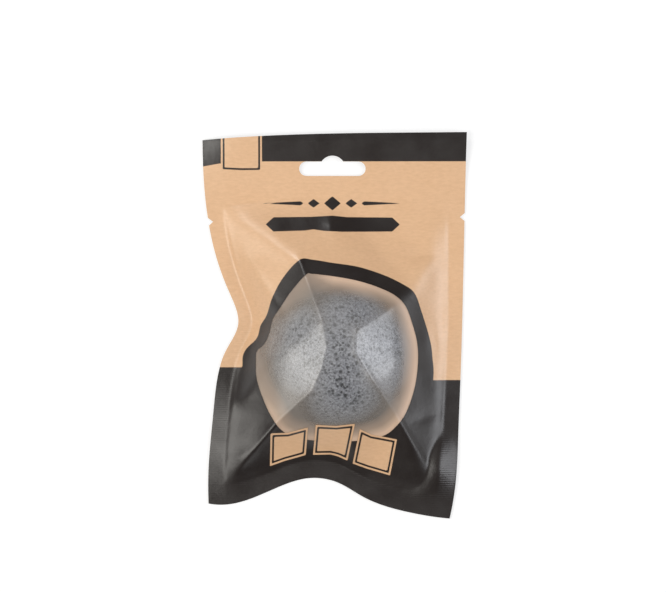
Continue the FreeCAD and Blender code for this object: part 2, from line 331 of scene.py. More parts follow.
def edge_lift(fade):
    """How far the sealed edges rise off the table. The header's left end droops again."""
    x, y = PLAN[..., 0], PLAN[..., 1]
    left = strip_slope(ACROSS, SIDE_SEAL, fade)
    right = strip_slope(FLAT_WIDTH - ACROSS, SIDE_SEAL, fade)
    low = strip_slope(ALONG, BOTTOM_SEAL, fade)
    waist = np.maximum(rise(y, WAIST_LIFT), rise(y, LOW_LEFT_LIFT)) * left
    arch = rise(x, ARCH_LIFT) * low
    far_side = rise(y, RIGHT_LIFT) * right
    up = np.clip((y - HEADER_RISE_Y[0]) / (HEADER_RISE_Y[1] - HEADER_RISE_Y[0]), 0, 1)
    droop = np.clip((DROOP_X[1] - x) / (DROOP_X[1] - DROOP_X[0]), 0, 1)
    header = HEADER_RISE * up ** 2 * (1 - droop ** 2)
    return np.maximum.reduce([waist, arch, far_side, header])


def corner_lift(fade):
    """The low end of the right seal is pulled up at its inner edge, where the film holds it."""
    right = strip_slope(FLAT_WIDTH - ACROSS, SIDE_SEAL, fade)
    return rise(PLAN[..., 1], LOW_RIGHT_LIFT) * right


print("edges rise up to", corner_lift(LIFT_FADE).max().round(1), "mm off the table")

# %% [markdown]
# ## Folds from the CAD film
# A Shrinkwrap modifier could lay the grid on the CAD film. A ray from above each point does the
# same and keeps the grid's plan exactly, so the print on it stays where it was drawn.

# %% Lay the web on the folds of the CAD film
RAY_START = 100.0
FLAT_FILM_Z = 0.5


def cad_surface(*names):
    """A search tree over the triangles of some CAD nodes, in millimetres."""
    corners, triangles = [], []
    for name in names:
        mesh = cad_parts[name].data
        first = len(corners)
        corners += [vertex.co / MM for vertex in mesh.vertices]
        triangles += [[first + index for index in polygon.vertices] for polygon in mesh.polygons]
    return BVHTree.FromPolygons(corners, triangles)


def folded_height():
    """Height of the CAD film under every grid point. Where there is none, the web is sealed flat."""
    film = cad_surface("window_film", "header_front_film")
    heights = np.full(SEALED.shape, FLAT_FILM_Z)
    for place in np.ndindex(*SEALED.shape):
        hit = film.ray_cast((*PLAN[place], RAY_START), (0, 0, -1))[0]
        if hit is not None:
            heights[place] = hit.z
    return heights


FOLDED = folded_height()
print("film from", FOLDED.min().round(2), "to", FOLDED.max().round(2), "mm high")

# %% [markdown]
# ## Small creases
# Real creases are rounded, so the facets are evened out a little, and more so along the seals,
# where the film leaves the flat in a soft bend. Then come smaller creases that only show up
# close. Each is a line with a height at every point; the film rises to it and eases off beside it.

# %% Soften the folds and add small creases
SOFTEN_ROUNDS = 5
SOFTEN_SHARE = 0.5
BROAD_ROUNDS = 60
CREST_WIDTH = 5.0
RIM_SOFTEN_ROUNDS = 70
RIM_SOFTEN_SHARE = 0.7
RIM_WIDTH = 9.0
WEB_GAP = 0.1
UNEVEN_HEIGHT = 0.2
UNEVEN_STEP = 11.0
FILM_SEED = 3
FAR_AWAY = 1e9
TOP_CREST = ((-17.3, 32.0, 0.4), (-6.4, 2.2, 0.4))
LEFT_CREST = ((-6.4, 2.2, 0.3), (-4.0, -9.5, 0.5), (-6.6, -21.0, 0.5), (-11.6, -32.4, 0.5),
              (-28.2, -47.6, 0.4), (-51.5, -77.0, 0.2))
RIGHT_CREST = ((29.1, 9.7, 0.3), (11.0, -2.3, 0.4), (10.5, -13.0, 0.5), (19.0, -27.3, 1.1),
               (29.5, -43.0, 0.9), (51.5, -79.0, 0.4))
SHOULDER_CREASE = ((31.0, 34.4, 0.0), (42.0, 34.8, -0.7), (53.0, 35.4, -0.5))
LOW_LEFT_CREASE = ((-54.0, -39.5, 1.0), (-46.0, -36.5, 0.8), (-38.0, -34.0, 0.0))
FOOT_CREASE = ((-55.0, -66.8, 0.8), (-47.0, -65.6, 0.8), (-38.0, -60.0, 0.0))
LOW_RIGHT_CREASE = ((33.0, -50.0, 0.0), (44.0, -46.0, 0.6), (53.2, -43.7, 0.9))
CHIN_CREASE = ((17.1, -28.6, 0.0), (15.8, -38.0, 0.5), (14.6, -47.7, 0.0))
WAIST_CREASE = ((-38.5, 7.0, 0.0), (-36.4, 4.6, -0.5), (-33.0, 3.0, 0.0))
DENT_CREASE = ((-36.5, -14.0, -0.7), (-29.0, -14.6, -0.6), (-22.0, -13.0, 0.0))
RING_CREASE = ((49.0, 3.0, 0.0), (50.5, -10.0, 1.0), (51.0, -26.0, 0.0))
BANNER_WAVE = ((-4.0, 57.0, 0.0), (-2.0, 50.5, 1.0), (-1.0, 42.0, 0.0))
CRESTS = (TOP_CREST, LEFT_CREST, RIGHT_CREST)
CREASES = (
    (TOP_CREST, 2.5), (LEFT_CREST, 3.0), (RIGHT_CREST, 2.8), (SHOULDER_CREASE, 8.0), (LOW_LEFT_CREASE, 6.0),
    (FOOT_CREASE, 7.0), (LOW_RIGHT_CREASE, 7.0), (CHIN_CREASE, 5.0), (WAIST_CREASE, 4.0),
    (DENT_CREASE, 3.5), (RING_CREASE, 7.0), (BANNER_WAVE, 7.0))


def evened(heights, strength):
    """Every point moves towards the mean of its neighbours."""
    wide = np.pad(heights, 1, mode="edge")
    mean = (wide[:-2, 1:-1] + wide[2:, 1:-1] + wide[1:-1, :-2] + wide[1:-1, 2:]) / 4
    return heights + strength * (mean - heights)


def to_segment(x, y, start, end):
    """Distance to a straight piece of line, and how far along it the nearest place is."""
    run_x, run_y = end[0] - start[0], end[1] - start[1]
    share = np.clip(((x - start[0]) * run_x + (y - start[1]) * run_y) / (run_x ** 2 + run_y ** 2), 0, 1)
    return np.hypot(x - start[0] - share * run_x, y - start[1] - share * run_y), share


def along_line(line):
    """For every grid point: distance to a line in plan, and the line's height beside it."""
    x, y = PLAN[..., 0], PLAN[..., 1]
    away, level = np.full(x.shape, FAR_AWAY), np.zeros(x.shape)
    for start, end in zip(line[:-1], line[1:]):
        here, share = to_segment(x, y, start, end)
        level = np.where(here < away, start[2] + (end[2] - start[2]) * share, level)
        away = np.minimum(away, here)
    return away, level


def crease_height():
    """Extra height along the crease lines: sharp on the line, easing off to nothing at its width."""
    total = np.zeros(SEALED.shape)
    for line, width in CREASES:
        away, level = along_line(line)
        total += level * np.clip(1 - away / width, 0, 1) ** 2
    return total


def unevenness():
    """Gentle seeded bumps, because no facet of thin film is quite flat."""
    draw = np.random.default_rng(FILM_SEED)
    shape = (int(FLAT_LENGTH / UNEVEN_STEP) + 2, int(FLAT_WIDTH / UNEVEN_STEP) + 2)
    coarse = draw.uniform(-UNEVEN_HEIGHT, UNEVEN_HEIGHT, shape)
    rows, columns = ALONG / UNEVEN_STEP, ACROSS / UNEVEN_STEP
    row, column = rows.astype(int), columns.astype(int)
    down, over = hump(rows - row, 1, 1), hump(columns - column, 1, 1)
    low = coarse[row, column] * (1 - over) + coarse[row, column + 1] * over
    high = coarse[row + 1, column] * (1 - over) + coarse[row + 1, column + 1] * over
    return low * (1 - down) + high * down


def shape_front_web():
    """The front web as points in millimetres, row by row from the bottom."""
    heights = FOLDED.copy()
    near_rim = np.clip(1 - np.abs(INSET) / RIM_WIDTH, 0, 1)
    for _ in range(RIM_SOFTEN_ROUNDS):
        heights = evened(heights, RIM_SOFTEN_SHARE * near_rim)
    from_crest = np.minimum.reduce([along_line(crest)[0] for crest in CRESTS])
    near_crest = np.clip(1 - from_crest / CREST_WIDTH, 0, 1)
    for _ in range(BROAD_ROUNDS):
        heights = evened(heights, SOFTEN_SHARE * (1 - near_crest))
    loose = np.clip(INSET / RIM_WIDTH, 0, 1)
    heights += loose * (crease_height() + unevenness())
    heights = np.where(SEALED, FLAT_FILM_Z, np.maximum(heights, FLAT_FILM_Z))
    heights = np.maximum(heights, FLAT_FILM_Z + corner_lift(LIFT_FADE))
    for _ in range(SOFTEN_ROUNDS):
        heights = evened(heights, SOFTEN_SHARE)
    return np.dstack([PLAN, heights + WEB_GAP + edge_lift(LIFT_FADE)])


FRONT = shape_front_web()
print("front web: top at", round(FRONT[..., 2].max(), 1), "mm")

# %% [markdown]
# ## Back web and tear notches
# The back web was cut to the same size. It lies on the table, and follows the front web where
# the two are sealed and lifted. A small notch is cut into both side edges at the tear line, so
# the pouch can be torn open there. Near it the grid's columns are pushed inwards.

# %% The back web, and the notches in both webs
BACK_Z = 0.15
BACK_FADE = 5.0
HEADER_LENGTH = 42.0
TEAR_ROW = ROWS - 1 - round(HEADER_LENGTH / CELL)
NOTCH_DEPTH = 2.3
NOTCH_HALF_ROWS = 3
NOTCH_COLUMNS = 11


def cut_notches(points):
    """Pushes the side edges inwards at the tear line."""
    for row in range(TEAR_ROW - NOTCH_HALF_ROWS + 1, TEAR_ROW + NOTCH_HALF_ROWS):
        depth = NOTCH_DEPTH * (1 - abs(row - TEAR_ROW) / NOTCH_HALF_ROWS)
        for column in range(NOTCH_COLUMNS):
            push = depth * (1 - column / NOTCH_COLUMNS)
            points[row, column, 0] += push
            points[row, COLUMNS - 1 - column, 0] -= push


BACK = np.dstack([PLAN, BACK_Z + np.maximum(edge_lift(BACK_FADE), corner_lift(BACK_FADE))])
cut_notches(FRONT)
cut_notches(BACK)
print("tear line from", FRONT[TEAR_ROW, 0].round(1), "to", FRONT[TEAR_ROW, -1].round(1))

# %% [markdown]
# ## Thin sheets from the webs
# Every ply is a stretch of one of the two webs. A grid primitive has as many points as the
# stretch, so its points are laid on the web and a Solidify modifier gives it the ply's
# thickness. Openings are cut afterwards with a prism and a Boolean modifier.

# %% Helpers for plies and openings
SMOOTH_ANGLE = math.radians(50)
CUT_LOW = -20.0
CUT_HIGH = 60.0
CUT_MARGIN = 10.0


def vertex_numbers(piece, kind):
    """Places ("co") or normals ("normal") of a piece's points, one row each."""
    flat = np.zeros(len(piece.data.vertices) * 3, np.float32)
    piece.data.vertices.foreach_get(kind, flat)
    return flat.reshape(-1, 3).astype(float)


def lay_points(piece, points):
    """Moves a piece's points to places in millimetres."""
    piece.data.vertices.foreach_set("co", (points * MM).astype(np.float32).ravel())
    piece.data.update()


def select_only(piece):
    bpy.ops.object.select_all(action='DESELECT')
    piece.select_set(True)
    bpy.context.view_layer.objects.active = piece


def apply_modifier(piece, modifier):
    select_only(piece)
    bpy.ops.object.modifier_apply(modifier=modifier.name)


def web_ply(name, surface, rows, columns, shift, thickness):
    """A ply that follows rows and columns of a web, from shift to shift + thickness above it."""
    stretch = surface[rows, columns]
    bpy.ops.object.select_all(action='DESELECT')
    bpy.ops.mesh.primitive_grid_add(x_subdivisions=stretch.shape[1] - 1,
                                    y_subdivisions=stretch.shape[0] - 1, size=1)
    piece = bpy.context.object
    piece.name = name
    piece.data.name = name
    lay_points(piece, stretch)
    lay_points(piece, stretch.reshape(-1, 3) + vertex_numbers(piece, "normal") * shift)
    wall = piece.modifiers.new("thickness", 'SOLIDIFY')
    wall.thickness = thickness * MM
    wall.offset = 1
    apply_modifier(piece, wall)
    bpy.ops.object.shade_smooth_by_angle(angle=SMOOTH_ANGLE)
    return piece


def prism(name, outline, low=CUT_LOW, high=CUT_HIGH):
    """A closed prism over an outline, to cut with."""
    bpy.ops.object.select_all(action='DESELECT')
    bpy.ops.mesh.primitive_circle_add(vertices=len(outline), radius=1, fill_type='NGON')
    cutter = bpy.context.object
    cutter.name = name
    lay_points(cutter, np.column_stack([np.array(outline), np.full(len(outline), low)]))
    bpy.ops.object.mode_set(mode='EDIT')
    bpy.ops.mesh.select_all(action='SELECT')
    bpy.ops.mesh.extrude_region_move(TRANSFORM_OT_translate={"value": (0, 0, (high - low) * MM)})
    bpy.ops.mesh.select_all(action='SELECT')
    bpy.ops.mesh.normals_make_consistent(inside=False)
    bpy.ops.object.mode_set(mode='OBJECT')
    return cutter


def cut(piece, *cutters):
    """Takes the cutters' space out of a piece."""
    for cutter in cutters:
        opening = piece.modifiers.new("opening", 'BOOLEAN')
        opening.operation = 'DIFFERENCE'
        opening.solver = 'EXACT'
        opening.object = cutter
        apply_modifier(piece, opening)


def remove(*scraps):
    for scrap in scraps:
        bpy.data.objects.remove(scrap, do_unlink=True)


# %% [markdown]
# ## Outlines of the print
# The print follows the film, so its round window looks pulled out of shape. Its outline, the
# dark ring round it and the three square labels are drawn as they lie on the filled pouch. A
# smooth curve goes through each list of points, which keeps the lists short.

# %% Window, ring and labels
def smooth_loop(points, steps=6):
    """A smooth closed curve through the points."""
    points = np.array(points, float)
    before, after, beyond = np.roll(points, 1, 0), np.roll(points, -1, 0), np.roll(points, -2, 0)
    curve = []
    for share in np.arange(steps) / steps:
        curve.append(0.5 * (2 * points + (after - before) * share
                            + (2 * before - 5 * points + 4 * after - beyond) * share ** 2
                            + (3 * points - before - 3 * after + beyond) * share ** 3))
    return np.stack(curve, 1).reshape(-1, 2)


WINDOW = smooth_loop((
    (-14.3, 25.2), (-10.8, 25.7), (1.2, 24.2), (11.7, 22.2), (21.2, 19.2), (29.7, 15.2), (35.2, 9.7),
    (38.7, 0.7), (41.2, -9.3), (41.4, -19.8), (39.7, -31.3), (35.7, -42.8), (30.7, -49.8), (24.2, -54.8),
    (12.0, -57.2), (-2.0, -57.6), (-15.0, -56.6), (-25.3, -52.8), (-31.3, -45.3), (-35.8, -35.8),
    (-38.8, -26.3), (-39.3, -17.8), (-38.8, -12.8), (-35.3, -9.3), (-32.8, -4.3), (-30.8, 3.2),
    (-26.8, 9.2), (-21.8, 16.7)))
RING = smooth_loop((
    (-17.3, 32.7), (-10.8, 32.7), (-1.3, 31.2), (11.7, 29.2), (24.2, 25.2), (33.7, 20.7), (39.7, 16.2),
    (43.2, 7.2), (47.2, -5.8), (48.7, -14.8), (48.7, -30.0), (40.0, -60.0), (0.0, -66.0), (-40.0, -50.0),
    (-46.3, -30.0), (-46.0, -20.8), (-45.8, -15.3), (-43.8, -11.3), (-38.8, -6.3), (-36.8, 0.2), (-33.8, 5.2),
    (-30.8, 14.2), (-25.3, 24.2)))
LEFT_LABEL = ((-31.8, -53.5), (-23.4, -53.3), (-13.2, -50.5), (-14.4, -64.7), (-24.8, -67.6), (-32.3, -70.3))
MIDDLE_LABEL = ((-9.4, -49.2), (0.7, -49.7), (10.1, -48.6), (6.4, -67.5), (1.6, -65.3), (-2.0, -64.4),
                (-10.8, -64.6))
RIGHT_LABEL = ((12.5, -51.3), (18.5, -54.2), (31.0, -56.6), (27.7, -74.9), (16.5, -71.6), (9.0, -68.9))
LABELS = (LEFT_LABEL, MIDDLE_LABEL, RIGHT_LABEL)
BANNER = ((-34.3, 50.4), (-30.5, 54.0), (-12.0, 54.2), (-1.0, 54.8), (6.0, 54.1), (28.8, 53.9), (32.6, 50.4),
          (28.8, 46.9), (4.0, 46.7), (-5.0, 47.1), (-10.5, 47.9), (-15.0, 47.3), (-30.5, 46.8))
TOP_BAND = ((-80, 78.5), (-66, 79.4), (-58, 80.8), (-45, 81.9), (80, 82.0), (80, 120), (-80, 120))
TAB = ((-56.8, 77.2), (-46.5, 76.7), (-36.3, 76.8), (-36.3, 130.0), (-56.8, 130.0))
LOWER_BLOCK = ((-80, -20.9), (-44.0, -20.9), (-30.0, -24.0), (30.0, -28.0), (46.0, -27.3), (80, -27.3),
               (80, -130), (-80, -130))


def inside_by(outline, x, y):
    """Signed distance to an outline, positive inside."""
    outline = np.array(outline, float)
    nearest = np.full(x.shape, FAR_AWAY)
    crossings = np.zeros(x.shape, int)
    for (x0, y0), (x1, y1) in zip(outline, np.roll(outline, -1, 0)):
        nearest = np.minimum(nearest, to_segment(x, y, (x0, y0), (x1, y1))[0])
        if y0 != y1:
            passes = (y0 > y) != (y1 > y)
            crossings += passes & (x < (x1 - x0) * (y - y0) / (y1 - y0) + x0)
    return np.where(crossings % 2 == 1, nearest, -nearest)


print("window", np.ptp(WINDOW[:, 0]).round(1), "by", np.ptp(WINDOW[:, 1]).round(1), "mm")

# %% [markdown]
# ## The front of the pouch
# The printed ply has the window cut out of it, with the labels left standing over its edge.
# The frosted film behind it runs over the whole front.

# %% Printed front and frosted film
PRINT_PLY = 0.14
FILM_PLY = 0.10
PLY_GAP = 0.02
BODY = slice(0, TEAR_ROW + 1)
HEADER = slice(TEAR_ROW, ROWS)
FULL = slice(0, COLUMNS)

front_panel = web_ply("printed_front", FRONT, BODY, FULL, 0, PRINT_PLY)
window_cutter = prism("window_cutter", WINDOW)
label_blocks = [prism("label_block", label, CUT_LOW - CUT_MARGIN, CUT_HIGH + CUT_MARGIN) for label in LABELS]
cut(window_cutter, *label_blocks)
cut(front_panel, window_cutter)
remove(window_cutter, *label_blocks)
window_film = web_ply("frosted_front_film", FRONT, BODY, FULL, -PLY_GAP - FILM_PLY, FILM_PLY)
print("front panel:", len(front_panel.data.vertices), "points; film:", len(window_film.data.vertices))

# %% [markdown]
# ## Seals and back
# Between the webs, the side and bottom seals are strips of melted film. The back is a film and
# a printed ply, like the front, but without a window.

# %% Seals, back film and back panel
SEAL_Z = -0.30
SEAL_PLY = 0.15
SIDE_CELLS = int(SIDE_SEAL / CELL)
LEFT_STRIP = slice(0, SIDE_CELLS + 1)
RIGHT_STRIP = slice(COLUMNS - 1 - SIDE_CELLS, COLUMNS)
BETWEEN = slice(SIDE_CELLS, COLUMNS - SIDE_CELLS)
BOTTOM_STRIP = slice(0, int(BOTTOM_SEAL / CELL) + 1)

left_side_seal = web_ply("left_seal_strip", FRONT, BODY, LEFT_STRIP, SEAL_Z, SEAL_PLY)
right_side_seal = web_ply("right_seal_strip", FRONT, BODY, RIGHT_STRIP, SEAL_Z, SEAL_PLY)
bottom_seal = web_ply("bottom_seal_strip", FRONT, BOTTOM_STRIP, BETWEEN, SEAL_Z, SEAL_PLY)
back_film = web_ply("clear_back_film", BACK, BODY, FULL, PLY_GAP, FILM_PLY)
back_panel = web_ply("printed_back", BACK, BODY, FULL, -PRINT_PLY, PRINT_PLY)
print("seal strips:", [len(p.data.vertices) for p in (left_side_seal, right_side_seal, bottom_seal)])

# %% [markdown]
# ## The header
# Above the tear line both webs are sealed flat, but for a short strip of loose film beside the
# line, which is part of the seal's sheet here. A hanging slot with a round bump in its upper
# edge is punched through, so the pouch can hang from a single or a double hook.

# %% Header plies with the hanging slot
SLOT_CENTRE = (-1.1, 78.3)
SLOT_LENGTH = 33.2
SLOT_HEIGHT = 7.2
SLOT_BUMP_RADIUS = 6.5
ARC_STEPS = 14
HEADER_SEAL_Z = -0.32
HEADER_SEAL_PLY = 0.30


def arc(centre, radius, start, end):
    """Points on an arc, angles in degrees."""
    angles = np.radians(np.linspace(start, end, ARC_STEPS))
    return [(centre[0] + radius * math.cos(a), centre[1] + radius * math.sin(a)) for a in angles]


def slot_outline():
    x, y = SLOT_CENTRE
    end_radius = SLOT_HEIGHT / 2
    half = SLOT_LENGTH / 2 - end_radius
    meet = math.degrees(math.asin(end_radius / SLOT_BUMP_RADIUS))
    return (arc((x + half, y), end_radius, -90, 90) + arc((x, y), SLOT_BUMP_RADIUS, meet, 180 - meet)
            + arc((x - half, y), end_radius, 90, 270))


header_front_panel = web_ply("header_printed_front", FRONT, HEADER, FULL, 0, PRINT_PLY)
header_seal = web_ply("header_seal_sheet", FRONT, HEADER, FULL, HEADER_SEAL_Z, HEADER_SEAL_PLY)
header_back_panel = web_ply("header_printed_back", BACK, HEADER, FULL, -PRINT_PLY, PRINT_PLY)
slot_cutter = prism("slot_cutter", slot_outline())
for ply in (header_front_panel, header_seal, header_back_panel):
    cut(ply, slot_cutter)
remove(slot_cutter)
print("header plies:", [len(p.data.vertices) for p in (header_front_panel, header_seal, header_back_panel)])

# %% [markdown]
# ## The sponge
# The sponge is a half-ball with a rounded edge and a flat base. A UV sphere cut in half would
# have thin triangles at its pole. An icosphere has even triangles all over, so it is pressed into a
# half-ball instead, by giving every point the place on the profile that covers the same area.

# %% The half-ball's shape
sponge_low, sponge_high = (np.array(corner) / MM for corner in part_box("sponge"))
SPONGE_X, SPONGE_Y = (sponge_low[:2] + sponge_high[:2]) / 2
SPONGE_BASE = sponge_low[2]
SPONGE_RADIUS = (sponge_high[0] - sponge_low[0]) / 2
SPONGE_HEIGHT = sponge_high[2] - sponge_low[2]
EDGE_ROUND = 3.0
CROWN_STEPS = 120
ROUND_STEPS = 12


def sponge_profile():
    """Radius and height down the half-ball's side, from its top to the middle of its base."""
    crown_angles = np.linspace(0, math.acos(EDGE_ROUND / SPONGE_HEIGHT), CROWN_STEPS)
    crown = np.column_stack([SPONGE_RADIUS * np.sin(crown_angles), SPONGE_HEIGHT * np.cos(crown_angles)])
    side = crown[-1, 0]
    round_angles = np.linspace(0, math.pi / 2, ROUND_STEPS)[1:]
    rounding = np.column_stack([side - EDGE_ROUND + EDGE_ROUND * np.cos(round_angles),
                                EDGE_ROUND - EDGE_ROUND * np.sin(round_angles)])
    return np.vstack([crown, rounding, [[0, 0]]]), len(crown)


def pressed_half_ball(unit):
    """Moves the points of a unit ball onto the half-ball, with even spacing on the dome."""
    profile, crown_count = sponge_profile()
    steps = np.diff(profile, axis=0)
    areas = (profile[:-1, 0] + profile[1:, 0]) / 2 * np.hypot(steps[:, 0], steps[:, 1])
    covered = np.concatenate([[0], np.cumsum(areas)])
    crown_area, whole_area = covered[crown_count - 1], covered[-1]
    z = np.clip(unit[:, 2], -1, 1)
    place = np.where(z > 0, (1 - z) * crown_area, crown_area - z * (whole_area - crown_area))
    radius = np.interp(place, covered, profile[:, 0])
    height = np.interp(place, covered, profile[:, 1])
    turn = np.arctan2(unit[:, 1], unit[:, 0])
    across, along = radius * np.cos(turn), radius * np.sin(turn)
    return np.column_stack([SPONGE_X + across, SPONGE_Y + along, SPONGE_BASE + height])


print("half-ball:", round(2 * SPONGE_RADIUS, 1), "mm wide,", round(SPONGE_HEIGHT, 1), "mm high")

# %% [markdown]
# ## Pores
# Konjac foam is full of open pores, from pinholes to two millimetres wide. A Displace modifier
# with a noise texture would only make it bumpy. So pores are pressed in at seeded random places:
# every point near a pore's middle goes down into it. The dome is subdivided once more for that.
# How much shade is painted into each pore is kept on the points, for the material to read.

# %% A half-ball with open pores
# The last number of each pore group is how much shade is painted into its pores.
PORE_GROUPS = ((900, 0.65, 1.05, 1.0), (2200, 0.40, 0.65, 0.8), (5000, 0.24, 0.40, 0.5))
PORE_DEPTH = 0.9
PORE_SHADE = 1.5
PORE_SEED = 7
LUMP_HEIGHT = 0.25
LUMP_WAVES = (0.9, 0.8, 0.7)
BALL_SUBDIVISIONS = 7
DOME_ABOVE = 0.06


def store(piece, name, values):
    """Keeps one number per point, for a material to read."""
    attribute = piece.data.attributes.new(name, 'FLOAT', 'POINT')
    attribute.data.foreach_set("value", np.asarray(values, np.float32))


def search_tree(points):
    """Finds the points near a place quickly."""
    tree = kdtree.KDTree(len(points))
    for index, point in enumerate(points):
        tree.insert(point, index)
    tree.balance()
    return tree


def press_pores(points):
    """Depth of every point below the smooth surface, and how much shade is painted into its pore."""
    draw = np.random.default_rng(PORE_SEED)
    tree = search_tree(points)
    depth, dark = np.zeros(len(points)), np.zeros(len(points))
    for count, small, large, pore_shade_strength in PORE_GROUPS:
        for middle in draw.choice(len(points), count, replace=False):
            radius = draw.uniform(small, large)
            for _, index, distance in tree.find_range(points[middle], radius):
                hollow = 1 - (distance / radius) ** 2
                depth[index] = max(depth[index], PORE_DEPTH * radius * math.sqrt(hollow))
                dark[index] = max(dark[index], pore_shade_strength * min(1, PORE_SHADE * hollow))
    return depth, dark


def make_sponge():
    bpy.ops.object.select_all(action='DESELECT')
    bpy.ops.mesh.primitive_ico_sphere_add(subdivisions=BALL_SUBDIVISIONS, radius=1)
    piece = bpy.context.object
    piece.name = "konjac_half_ball"
    piece.data.name = "konjac_half_ball"
    upper = np.array([polygon.center.z > DOME_ABOVE for polygon in piece.data.polygons])
    piece.data.polygons.foreach_set("select", upper)
    bpy.ops.object.mode_set(mode='EDIT')
    bpy.ops.mesh.select_mode(type='FACE')
    bpy.ops.mesh.subdivide(number_cuts=1)
    bpy.ops.object.mode_set(mode='OBJECT')
    unit = vertex_numbers(piece, "co")
    unit /= np.linalg.norm(unit, axis=1)[:, None]
    points = pressed_half_ball(unit)
    lay_points(piece, points)
    normals = vertex_numbers(piece, "normal")
    depth, dark = press_pores(points)
    x, y, z = (points * LUMP_WAVES).T
    lumps = LUMP_HEIGHT * np.sin(x) * np.sin(y + 1) * np.sin(z)
    points -= normals * (depth + np.abs(lumps))[:, None]
    points[:, 2] = np.maximum(points[:, 2], SPONGE_BASE)
    lay_points(piece, points)
    # Keeps the painted pore shade on the points.
    store(piece, "painted_pore_shade", dark)
    select_only(piece)
    bpy.ops.object.shade_smooth()
    return piece


sponge = make_sponge()
print("sponge:", len(sponge.data.polygons), "faces")

# %% [markdown]
# ## Numbers for the print and the film
# The print's edges have to be crisp, much finer than the grid. So every point keeps its distance
# to the nearest printed edge, and the material turns that distance into a hard line. The film
# keeps its distance to the sponge, because frosted film is clear where it touches and milky
# where it stands off.

# %% Distances to printed edges and to the sponge
ORNAMENT_X = SLOT_CENTRE[0]
ORNAMENT_Y = 61.0
SIDE_LOZENGE = 9.4
DASH_TIP, DASH_SHOULDER, DASH_POINT = 36.4, 15.9, 14.4
DASH_HALF = 1.0
FAR_OFF = -50.0


def lozenge(x, half_width, half_height):
    return ((x - half_width, ORNAMENT_Y), (x, ORNAMENT_Y + half_height),
            (x + half_width, ORNAMENT_Y), (x, ORNAMENT_Y - half_height))


def dash(side):
    """A long thin dash that points to the middle."""
    tip, shoulder, point = (ORNAMENT_X + side * part for part in (DASH_TIP, DASH_SHOULDER, DASH_POINT))
    return ((tip, ORNAMENT_Y), (shoulder, ORNAMENT_Y + DASH_HALF), (point, ORNAMENT_Y),
            (shoulder, ORNAMENT_Y - DASH_HALF))


ORNAMENTS = (
    lozenge(ORNAMENT_X, 4.2, 3.6), lozenge(ORNAMENT_X - SIDE_LOZENGE, 3.0, 2.2),
    lozenge(ORNAMENT_X + SIDE_LOZENGE, 3.0, 2.2), dash(-1), dash(1))


def points_of(piece):
    return vertex_numbers(piece, "co") / MM


def store_print(piece, whole_front):
    """Distances inside dark print and inside the labels; the unprinted side stays plain."""
    points = points_of(piece)
    x, y = points[:, 0], points[:, 1]
    dark = np.maximum(inside_by(TOP_BAND, x, y), inside_by(LOWER_BLOCK, x, y))
    label = np.full(len(points), FAR_OFF)
    if whole_front:
        for outline in (RING, BANNER) + ORNAMENTS:
            dark = np.maximum(dark, inside_by(outline, x, y))
        for outline in LABELS + (TAB,):
            label = np.maximum(label, inside_by(outline, x, y))
    else:
        dark = np.where(vertex_numbers(piece, "normal")[:, 2] > 0, FAR_OFF, dark)
    store(piece, "dark_print", dark)
    store(piece, "label_print", label)


WEB_TREE = search_tree(FRONT.reshape(-1, 3))
BANDS = (SEALED & (np.arange(ROWS) < TEAR_ROW)[:, None]).ravel()


def store_seal(piece):
    """1 on the sealed bands below the tear line, 0 elsewhere."""
    store(piece, "sealed_band", [BANDS[WEB_TREE.find(point)[1]] for point in points_of(piece)])


def store_gap(piece):
    """Distances from the film to the sponge's dome and to the window's edge, in millimetres."""
    points = points_of(piece)
    store(piece, "from_edge", inside_by(WINDOW, points[:, 0], points[:, 1]))
    place = points - (SPONGE_X, SPONGE_Y, SPONGE_BASE)
    slope = place / np.array([SPONGE_RADIUS ** 2, SPONGE_RADIUS ** 2, SPONGE_HEIGHT ** 2])
    excess = (place * slope).sum(axis=1) - 1
    gap = excess / (2 * np.linalg.norm(slope, axis=1))
    store(piece, "sponge_gap", gap)
    print("film stands at least", gap.min().round(2), "mm off the sponge")


for ply, whole_front in ((front_panel, True), (header_front_panel, True), (back_panel, False),
                         (header_back_panel, False)):
    store_print(ply, whole_front)
    store_seal(ply)
store_gap(window_film)
print("print edges stored on four printed plies")

# %% [markdown]
# ## Finishes
# All finishes are built from nodes. Colours that vary come from stored numbers or from noise on
# Object coordinates, which stay with the piece when it moves.

# %% Helpers for finishes
def start_finish(name):
    """A new material with a Principled shader on its output."""
    material = bpy.data.materials.new(name)
    tree, output = new_nodes(material)
    shader = tree.nodes.new("ShaderNodeBsdfPrincipled")
    tree.links.new(shader.outputs["BSDF"], output.inputs["Surface"])
    return material, tree, shader


def stored(tree, name):
    node = tree.nodes.new("ShaderNodeAttribute")
    node.attribute_name = name
    return node.outputs["Fac"]


def remap(tree, value, low, high, new_low=0.0, new_high=1.0):
    """Maps a range of a number to another range, and holds it there."""
    node = tree.nodes.new("ShaderNodeMapRange")
    tree.links.new(value, node.inputs["Value"])
    node.inputs["From Min"].default_value = low
    node.inputs["From Max"].default_value = high
    node.inputs["To Min"].default_value = new_low
    node.inputs["To Max"].default_value = new_high
    return node.outputs["Result"]


def blend_colour(tree, share, first, second):
    """Mixes two colours, given as colours or as sockets."""
    node = tree.nodes.new("ShaderNodeMix")
    node.data_type = 'RGBA'
    tree.links.new(share, node.inputs[0])
    for socket, colour in ((node.inputs[6], first), (node.inputs[7], second)):
        if isinstance(colour, tuple):
            socket.default_value = colour + (1,)
        else:
            tree.links.new(colour, socket)
    return node.outputs[2]


